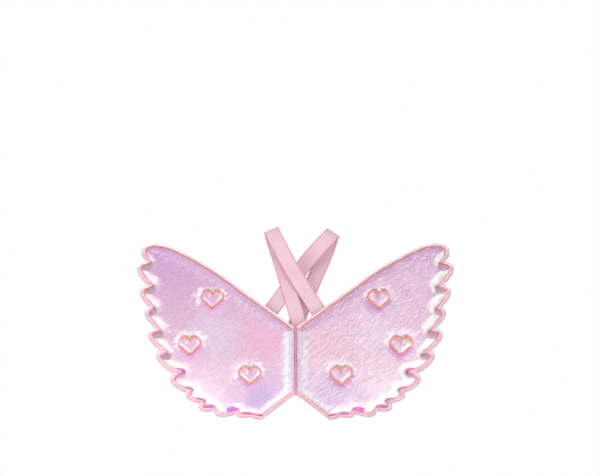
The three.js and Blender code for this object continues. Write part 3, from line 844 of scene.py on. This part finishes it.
class Nodes:
    """A material's node tree, with a short way to add nodes."""

    def __init__(self, name):
        self.material = bpy.data.materials.new(name)
        self.material.use_nodes = True
        self.tree = self.material.node_tree
        self.shader = next(n for n in self.tree.nodes if n.type == "BSDF_PRINCIPLED")

    def add(self, kind, inputs=None, **settings):
        made = self.tree.nodes.new(kind)
        for key, value in settings.items():
            setattr(made, key, value)
        for key, value in (inputs or {}).items():
            self.plug(value, made.inputs[key])
        return made

    def plug(self, value, socket):
        if isinstance(value, bpy.types.NodeSocket):
            self.tree.links.new(value, socket)
        else:
            socket.default_value = value

    def set(self, **inputs):
        for key, value in inputs.items():
            self.plug(value, self.shader.inputs[key.replace("_", " ")])

    def math(self, operation, a, b=0.0, c=0.0):
        return self.add("ShaderNodeMath", {0: a, 1: b, 2: c}, operation=operation).outputs[0]

    def attribute(self, name, output="Vector"):
        return self.add("ShaderNodeAttribute", attribute_name=name).outputs[output]

    def parts(self, vector):
        """The x, y and z of a vector."""
        return self.add("ShaderNodeSeparateXYZ", {0: vector}).outputs

    def millimetres(self):
        """The place on the object, in millimetres."""
        spot = self.add("ShaderNodeTexCoord").outputs["Object"]
        return self.add("ShaderNodeMapping", {"Vector": spot, "Scale": (1000, 1000, 1000)}).outputs[0]

    def shade(self, color, grey):
        """A colour times a grey."""
        made = self.add("ShaderNodeCombineColor", {0: grey, 1: grey, 2: grey}).outputs[0]
        return self.mix(1.0, color, made, "MULTIPLY")

    def ramp(self, factor, *stops):
        made = self.add("ShaderNodeValToRGB", {"Fac": factor})
        while len(made.color_ramp.elements) < len(stops):
            made.color_ramp.elements.new(1.0)
        for element, (place, color) in zip(made.color_ramp.elements, stops):
            element.position = place
            element.color = (*color, 1)
        return made.outputs["Color"]

    def mix(self, factor, a, b, blend="MIX"):
        made = self.add("ShaderNodeMix", data_type="RGBA", blend_type=blend)
        for socket, value in ((made.inputs["Factor"], factor), (made.inputs[6], a), (made.inputs[7], b)):
            self.plug(value, socket)
        return made.outputs[2]

    def noise(self, vector, scale, detail=2.0, distortion=0.0):
        return self.add("ShaderNodeTexNoise", {"Vector": vector, "Scale": scale, "Detail": detail,
                                               "Distortion": distortion}).outputs["Fac"]

    def bump(self, height, strength, distance, normal=None):
        inputs = {"Height": height, "Strength": strength, "Distance": distance}
        if normal is not None:
            inputs["Normal"] = normal
        return self.add("ShaderNodeBump", inputs).outputs["Normal"]


def srgb(r, g, b):
    """A colour given as it looks on screen, 0 to 255, as the shader wants it."""
    return tuple(((c / 255 + 0.055) / 1.055) ** 2.4 if c > 10 else c / 255 / 12.92 for c in (r, g, b))


WHITE = (1, 1, 1, 1)

# Soft patches of tint on each wing, partly the film's own tint and partly painted reflection: the middle
# (distance from the seam, height), radius, colour and strength.
PEARL_PATCHES = (
    ((36, 14), 62, (230, 168, 196), 0.5),
    ((100, 20), 46, (222, 216, 236), 0.45),
    ((118, -52), 52, (250, 226, 240), 0.6),
    ((40, -70), 58, (190, 164, 212), 0.65),
)


def tinted(r, g, b):
    return (*srgb(r, g, b), 1)


@shared
def pearl_leather():
    """Pearlescent coated fabric: pink and lilac with painted reflections, highlights and shade set by the slope
    at rest, a fine grain and soft crinkles.
    """
    n = Nodes("pearl_leather")
    place = n.attribute("place")
    xyz = n.parts(place)
    slope = n.parts(n.attribute("slope"))

    def between(value, low, high, most=1.0):
        return n.add("ShaderNodeMapRange", {"Value": value, "From Min": low, "From Max": high, "To Max": most},
                     interpolation_type="SMOOTHSTEP").outputs[0]

    # Broad changes of pink, lilac and pale bluish white, partly the film's own tint and partly painted
    # reflection: lilac towards the tips, pinker towards the middle.
    height = n.add("ShaderNodeMapRange", {"Value": xyz[2], "From Min": -85.0, "From Max": 125.0}).outputs[0]
    base = n.ramp(height, (0.0, srgb(232, 200, 228)), (0.35, srgb(222, 188, 208)),
                  (0.7, srgb(212, 172, 200)), (1.0, srgb(200, 155, 200)))
    side = n.math("SIGN", xyz[0])
    reach = n.math("ABSOLUTE", xyz[0])
    folded = n.add("ShaderNodeCombineXYZ", {0: reach, 1: 0.0, 2: xyz[2]}).outputs[0]
    cloud = n.noise(place, 0.03, 3.0, 1.0)
    for centre, radius, tint, most in PEARL_PATCHES:
        gap = n.add("ShaderNodeVectorMath", {0: folded, 1: (centre[0], 0, centre[1])}, operation="DISTANCE")
        ragged = n.math("ADD", gap.outputs["Value"], n.math("MULTIPLY_ADD", cloud, 60.0, -30.0))
        base = n.mix(between(ragged, radius, 0.0, most), base, tinted(*tint))

    # Painted light by slope and by place: a painted cream highlight where it faces outwards and down, painted
    # magenta reflections in crescents beside the lower notches, where it faces steeply down, painted olive-grey
    # shade in the pockets under the upper notches and above the hearts, painted lilac shade along the top edge,
    # and a painted bluish-white highlight where it faces the seam.
    outward = n.math("MULTIPLY", slope[0], side)
    up = slope[2]
    down = n.math("MULTIPLY", up, -1.0)
    dimple = n.attribute("dimple", "Fac")
    open_field = n.math("SUBTRACT", 1.0, dimple)
    right = n.add("ShaderNodeMapRange", {"Value": xyz[0], "From Min": -15.0, "From Max": 15.0,
                                         "To Min": 0.35, "To Max": 1.0}).outputs[0]
    # Painted light: the right wing is painted paler than the left.
    base = n.mix(n.math("MULTIPLY_ADD", right, 0.45, -0.15), base, tinted(252, 224, 240))
    # Painted cream highlight on slopes facing outwards and down, stronger on the right wing.
    leaning = n.math("MULTIPLY", outward, n.math("MULTIPLY_ADD", right, 0.4, 0.1))
    leaning = n.math("ADD", leaning, n.math("MULTIPLY", down, n.math("MULTIPLY_ADD", right, 0.4, 0.35)))
    color = n.mix(between(leaning, 0.06, 0.36, 0.9), base, tinted(255, 246, 252))
    # Painted highlight along the rim where the edge faces out and down, mostly on the right wing.
    rim_out, rim_up, _ = n.parts(n.attribute("rim"))
    rim_highlight = n.math("SUBTRACT", n.math("MULTIPLY", rim_out, 0.8), n.math("MULTIPLY", rim_up, 0.6))
    rim_highlight = n.math("MULTIPLY", between(rim_highlight, 0.3, 0.55, 1.0), n.math("MULTIPLY", right, right))
    color = n.mix(rim_highlight, color, tinted(255, 250, 252))
    # Painted bluish-white highlight on slopes facing the seam, stronger on the left wing.
    seam_highlight = n.add("ShaderNodeMapRange", {"Value": side, "From Min": -1.0, "From Max": 1.0, "To Min": 0.9,
                                        "To Max": 0.5}).outputs[0]
    seam_highlight = n.math("MULTIPLY", between(outward, -0.1, -0.45), seam_highlight)
    color = n.mix(seam_highlight, color, tinted(240, 244, 252))
    # Painted lilac shade on slopes facing up.
    color = n.mix(between(up, 0.1, 0.5, 0.8), color, tinted(216, 166, 206))
    # Painted olive-grey shade round each oval under an upper notch, and painted shade inside it: grey lilac on
    # the left wing, pink on the right.
    notch = n.parts(n.attribute("notch"))
    pocket_shade = n.mix(right, tinted(166, 142, 170), tinted(216, 166, 198))
    color = n.mix(between(notch[0], 0.0, 0.12, 0.75), color, tinted(170, 160, 136))
    color = n.mix(between(notch[0], 0.18, 0.45, 0.9), color, pocket_shade)
    # Painted magenta reflection in the crescents beside the lower notches.
    patches = between(n.noise(place, 0.1, 1.0), 0.42, 0.58)
    magenta = n.mix(patches, tinted(236, 84, 206), tinted(186, 120, 226))
    color = n.mix(between(notch[1], 0.0, 0.25, 0.95), color, magenta)

    # Painted highlights in rays beside the hearts stand in for light caught by pressed-in gathers; painted
    # olive-grey shade lies above the hearts and painted lilac shade in the dimples below them.
    ray_out, ray_up, _ = n.parts(n.attribute("heart_rim"))
    angle = n.math("ARCTAN2", ray_up, ray_out)
    rays = n.noise(n.add("ShaderNodeCombineXYZ", {0: angle, 1: 0.0, 2: side}).outputs[0], 4.0, 2.0)
    sideways = n.math("MULTIPLY", n.math("ABSOLUTE", ray_up), 0.7)
    sideways = n.math("SUBTRACT", n.math("ABSOLUTE", ray_out), sideways)
    sideways = n.math("MULTIPLY", between(sideways, 0.15, 0.4), between(ray_up, -0.2, 0.0))
    color = n.mix(n.math("MULTIPLY", between(down, 0.25, 0.6, 0.9), between(ray_up, 0.4, 0.75)), color,
                  tinted(172, 168, 152))
    color = n.mix(n.math("MULTIPLY", between(up, 0.08, 0.4, 0.8), dimple), color, tinted(222, 168, 222))
    color = n.mix(n.math("MULTIPLY", between(rays, 0.5, 0.6, 0.85), sideways), color, tinted(255, 248, 255))

    # The flange is a pink roll, painted paler up to a cream highlight where it faces up and deeper pink where it
    # faces down.
    flange_color = n.ramp(n.math("MULTIPLY_ADD", slope[2], 0.5, 0.5), (0.1, srgb(222, 158, 190)),
                          (0.4, srgb(224, 178, 204)), (0.58, srgb(240, 206, 222)), (0.76, srgb(255, 246, 240)))
    on_flange = n.attribute("flange", "Fac")
    color = n.mix(on_flange, color, flange_color)

    # Crinkles run diagonally and are stronger on the right wing, with a painted highlight along their creases
    # outside the dimples; a fine grain lies over everything.
    turned_place = n.add("ShaderNodeMapping", {"Vector": place, "Rotation": (0, math.radians(-42), 0),
                                               "Scale": (15, 6, 4.6)}, vector_type="TEXTURE").outputs[0]
    crinkle = n.noise(turned_place, 1.0, 4.0, 1.2)
    crease = n.math("ABSOLUTE", n.math("SUBTRACT", crinkle, 0.5))
    crease = n.math("MINIMUM", n.math("MULTIPLY", crease, 6.0), 1.0)
    crease = n.math("MULTIPLY", crease, right)
    glint = n.math("MULTIPLY", between(crease, 0.45, 1.0, 0.4), open_field)
    color = n.mix(glint, color, tinted(255, 236, 248))
    grain = n.noise(place, 1.1, 3.0)
    pores = n.add("ShaderNodeTexVoronoi", {"Vector": place, "Scale": 1.5}, feature="F1").outputs["Distance"]
    relief = n.math("ADD", n.math("MULTIPLY", crease, 0.95), n.math("MULTIPLY", grain, 0.15))
    relief = n.math("ADD", relief, n.math("MULTIPLY", pores, 0.08))
    speckle = n.math("MULTIPLY_ADD", grain, 0.16, 0.92)
    color = n.shade(color, speckle)
    rough = n.math("MULTIPLY_ADD", grain, 0.14, 0.2)
    n.set(Base_Color=color, Metallic=0.2, Roughness=rough, Coat_Weight=0.35, Coat_Roughness=0.2,
          Normal=n.bump(relief, 1.0, 1.1 * MM))
    return n.material


@shared
def seam_leather():
    """The same coated fabric where it is turned in along the seam: plain pink with a fine grain."""
    n = Nodes("seam_leather")
    place = n.millimetres()
    grain = n.noise(place, 0.9, 3.0)
    color = n.ramp(n.noise(place, 0.08, 2.0), (0.35, srgb(226, 150, 200)), (0.65, srgb(236, 178, 214)))
    n.set(Base_Color=color, Metallic=0.2, Roughness=0.3, Coat_Weight=0.35, Coat_Roughness=0.2,
          Normal=n.bump(grain, 1.0, 0.3 * MM))
    return n.material


def woven(n, u, v, warp, weft):
    """The height of a plain weave from coordinates in millimetres."""
    a = n.math("SINE", n.math("MULTIPLY", u, 2 * math.pi / warp))
    b = n.math("SINE", n.math("MULTIPLY", v, 2 * math.pi / weft))
    return n.math("MULTIPLY_ADD", n.math("MULTIPLY", a, b), 0.5, 0.5)


@shared
def lining():
    """Matt pale pink woven lining."""
    n = Nodes("lining")
    place = n.millimetres()
    xyz = n.parts(place)
    weave = woven(n, xyz[0], xyz[2], 0.9, 0.9)
    cloud = n.noise(place, 0.03, 3.0, 0.4)
    stretched = n.add("ShaderNodeMapping", {"Vector": place, "Scale": (0.08, 1, 1.4)}).outputs[0]
    slub = n.noise(stretched, 1.0, 2.0)
    color = n.ramp(cloud, (0.35, srgb(236, 196, 212)), (0.65, srgb(243, 208, 222)))
    shade = n.math("MULTIPLY_ADD", weave, 0.1, 0.9)
    color = n.shade(color, shade)
    color = n.mix(n.math("MULTIPLY", slub, 0.16), color, tinted(250, 226, 234))
    height = n.math("MULTIPLY_ADD", slub, 0.4, weave)
    rough = n.math("MULTIPLY_ADD", cloud, 0.15, 0.7)
    n.set(Base_Color=color, Roughness=rough, Sheen_Weight=0.25, Sheen_Roughness=0.4,
          Normal=n.bump(height, 0.45, 0.15 * MM))
    return n.material


@shared
def wadding():
    """White polyester wadding."""
    n = Nodes("wadding")
    place = n.millimetres()
    fluff = n.noise(place, 0.25, 6.0, 1.2)
    color = n.ramp(fluff, (0.3, srgb(232, 230, 226)), (0.7, srgb(250, 249, 247)))
    rough = n.math("MULTIPLY_ADD", fluff, 0.1, 0.88)
    n.set(Base_Color=color, Roughness=rough, Sheen_Weight=0.4, Normal=n.bump(fluff, 0.6, 1.0 * MM))
    return n.material


@shared
def thread():
    """Peach embroidery thread."""
    return twisted_thread("thread", srgb(238, 132, 96), srgb(248, 158, 128), (255, 204, 180))


@shared
def pink_thread():
    return twisted_thread("pink_thread", srgb(214, 128, 176), srgb(228, 150, 192), (244, 190, 220))


def twisted_thread(name, deep, pale, shine):
    """Thread with a soft shine and a fine twist."""
    n = Nodes(name)
    place = n.millimetres()
    xyz = n.parts(place)
    diagonal = n.math("ADD", xyz[0], n.math("MULTIPLY", xyz[2], 0.7))
    twist = n.math("MULTIPLY_ADD", n.math("SINE", n.math("MULTIPLY", diagonal, 16.0)), 0.5, 0.5)
    change = n.noise(place, 0.35, 2.0)
    color = n.ramp(change, (0.35, deep), (0.65, pale))
    color = n.mix(n.math("MULTIPLY", twist, 0.25), color, tinted(*shine))
    rough = n.math("MULTIPLY_ADD", change, 0.15, 0.36)
    n.set(Base_Color=color, Roughness=rough, Sheen_Weight=0.2, Normal=n.bump(twist, 0.4, 0.08 * MM))
    return n.material


@shared
def elastic():
    """Pale pink woven elastic: ribs along its length, closely spaced picks across, firmer edges."""
    n = Nodes("elastic")
    uv = n.add("ShaderNodeUVMap", uv_map="weave").outputs[0]
    xyz = n.parts(uv)
    across, along = xyz[0], xyz[1]
    rib = n.math("MULTIPLY_ADD", n.math("SINE", n.math("MULTIPLY", across, 2 * math.pi / RIB)), 0.5, 0.5)
    weave = woven(n, across, along, RIB / 2, 0.8)
    place = n.add("ShaderNodeTexCoord").outputs["Object"]
    cloud = n.noise(place, 40.0, 3.0, 0.3)
    color = n.ramp(cloud, (0.35, srgb(224, 185, 198)), (0.65, srgb(230, 195, 206)))
    shade = n.math("MULTIPLY_ADD", n.math("MULTIPLY_ADD", rib, 1.4, weave), 0.06, 0.88)
    color = n.shade(color, shade)
    edge = n.math("GREATER_THAN", n.math("ABSOLUTE", across), STRAP_WIDTH / 2 - 1.5)
    color = n.mix(n.math("MULTIPLY", edge, 0.8), color, tinted(218, 138, 166))
    height = n.math("MULTIPLY_ADD", rib, 0.6, weave)
    rough = n.math("MULTIPLY_ADD", cloud, 0.15, 0.68)
    n.set(Base_Color=color, Roughness=rough, Sheen_Weight=0.2, Sheen_Roughness=0.4,
          Normal=n.bump(height, 0.4, 0.18 * MM))
    return n.material


def dress_seam():
    """The seam and its stitching keep their CAD shapes and get finished materials."""
    for node, material in (("spine_seam", seam_leather()), ("spine_stitching", pink_thread())):
        mesh = frame["nodes"][node].data
        for slot in range(len(mesh.materials)):
            mesh.materials[slot] = material


# ---- studio --------------------------------------------------------------------------------------
def studio():
    """A white surround, a soft gradient for reflections and three softboxes."""
    scene = bpy.context.scene
    scene.view_settings.view_transform = "Standard"
    scene.view_settings.look = "None"
    world = bpy.data.worlds.new("studio")
    scene.world = world
    world.use_nodes = True
    tree = world.node_tree
    tree.nodes.clear()

    def add(kind, **inputs):
        made = tree.nodes.new(kind)
        for key, value in inputs.items():
            socket = made.inputs[key.replace("_", " ")]
            if isinstance(value, bpy.types.NodeSocket):
                tree.links.new(value, socket)
            else:
                socket.default_value = value
        return made

    coords = tree.nodes.new("ShaderNodeTexCoord")
    parts = tree.nodes.new("ShaderNodeSeparateXYZ")
    tree.links.new(coords.outputs["Generated"], parts.inputs[0])
    turned = add("ShaderNodeMapRange", Value=parts.outputs[1], From_Min=-1.0, From_Max=1.0).outputs[0]
    ramp = add("ShaderNodeValToRGB", Fac=turned)
    # Dim in front, where the camera is.
    stops = ((0.0, 0.4), (0.04, 0.5), (0.14, 1.0), (0.4, 0.9), (1.0, 0.85))
    while len(ramp.color_ramp.elements) < len(stops):
        ramp.color_ramp.elements.new(1.0)
    for element, (spot, value) in zip(ramp.color_ramp.elements, stops):
        element.position, element.color = spot, (value, value, value, 1)
    surround = add("ShaderNodeBackground", Color=ramp.outputs["Color"], Strength=SURROUND)
    backdrop = add("ShaderNodeBackground", Color=WHITE, Strength=1.0)
    seen = tree.nodes.new("ShaderNodeLightPath").outputs["Is Camera Ray"]
    mix = tree.nodes.new("ShaderNodeMixShader")
    tree.links.new(seen, mix.inputs[0])
    tree.links.new(surround.outputs[0], mix.inputs[1])
    tree.links.new(backdrop.outputs[0], mix.inputs[2])
    output = tree.nodes.new("ShaderNodeOutputWorld")
    tree.links.new(mix.outputs[0], output.inputs[0])

    for name, place, size, power in SOFTBOXES:
        light = bpy.data.lights.new(name, "AREA")
        light.shape, light.size, light.energy = "SQUARE", size, power
        lamp = bpy.data.objects.new(name, light)
        lamp.location = place
        lamp.rotation_euler = (Vector((0, 0, 0.03)) - Vector(place)).to_track_quat("-Z", "Y").to_euler()
        lamp.visible_camera = False
        scene.collection.objects.link(lamp)


def floor():
    turn = np.linspace(0, 2 * math.pi, 96, endpoint=False)
    rim = np.stack((np.cos(turn), np.sin(turn), np.zeros(len(turn))), 1) * FLOOR_RADIUS
    piece = mesh_piece("floor", (rim + (0, 0, FLOOR_Z)) / MM, [range(len(rim))], pale_floor())


@shared
def pale_floor():
    n = Nodes("pale_floor")
    place = n.add("ShaderNodeTexCoord").outputs["Object"]
    grain = n.noise(place, 180.0, 3.0)
    color = n.ramp(grain, (0.3, srgb(246, 245, 246)), (0.7, srgb(250, 249, 250)))
    n.set(Base_Color=color, Roughness=0.9, Normal=n.bump(grain, 0.1, 0.3 * MM))
    return n.material


def camera():
    """Straight on, framed as the photograph is: the wings low in the frame, a little left of its middle."""
    data = bpy.data.cameras.new("camera")
    data.lens, data.sensor_width = LENS, SENSOR
    eye = bpy.data.objects.new("camera", data)
    eye.location = (CENTRE[0], -FRAME_WIDTH * LENS / SENSOR + FLANGE_FRONT * MM, CENTRE[1])
    eye.rotation_euler = (math.pi / 2, 0, 0)
    bpy.context.scene.collection.objects.link(eye)
    bpy.context.scene.camera = eye


# ---- the whole -----------------------------------------------------------------------------------
def build():
    outline = wing_outline()
    hearts = [heart_line(f"right_wing_{name}_heart_stitching", EDGE_STEP) for name in HEARTS]
    for side in SIDES:
        wing(side, outline, hearts)
    for side, loop in LOOPS.items():
        strap(side, loop)
        for end in ("outer", "inner"):
            tack_stitches(side, loop, end)
    patch()
    dress_seam()
    studio()
    floor()
    camera()


build()
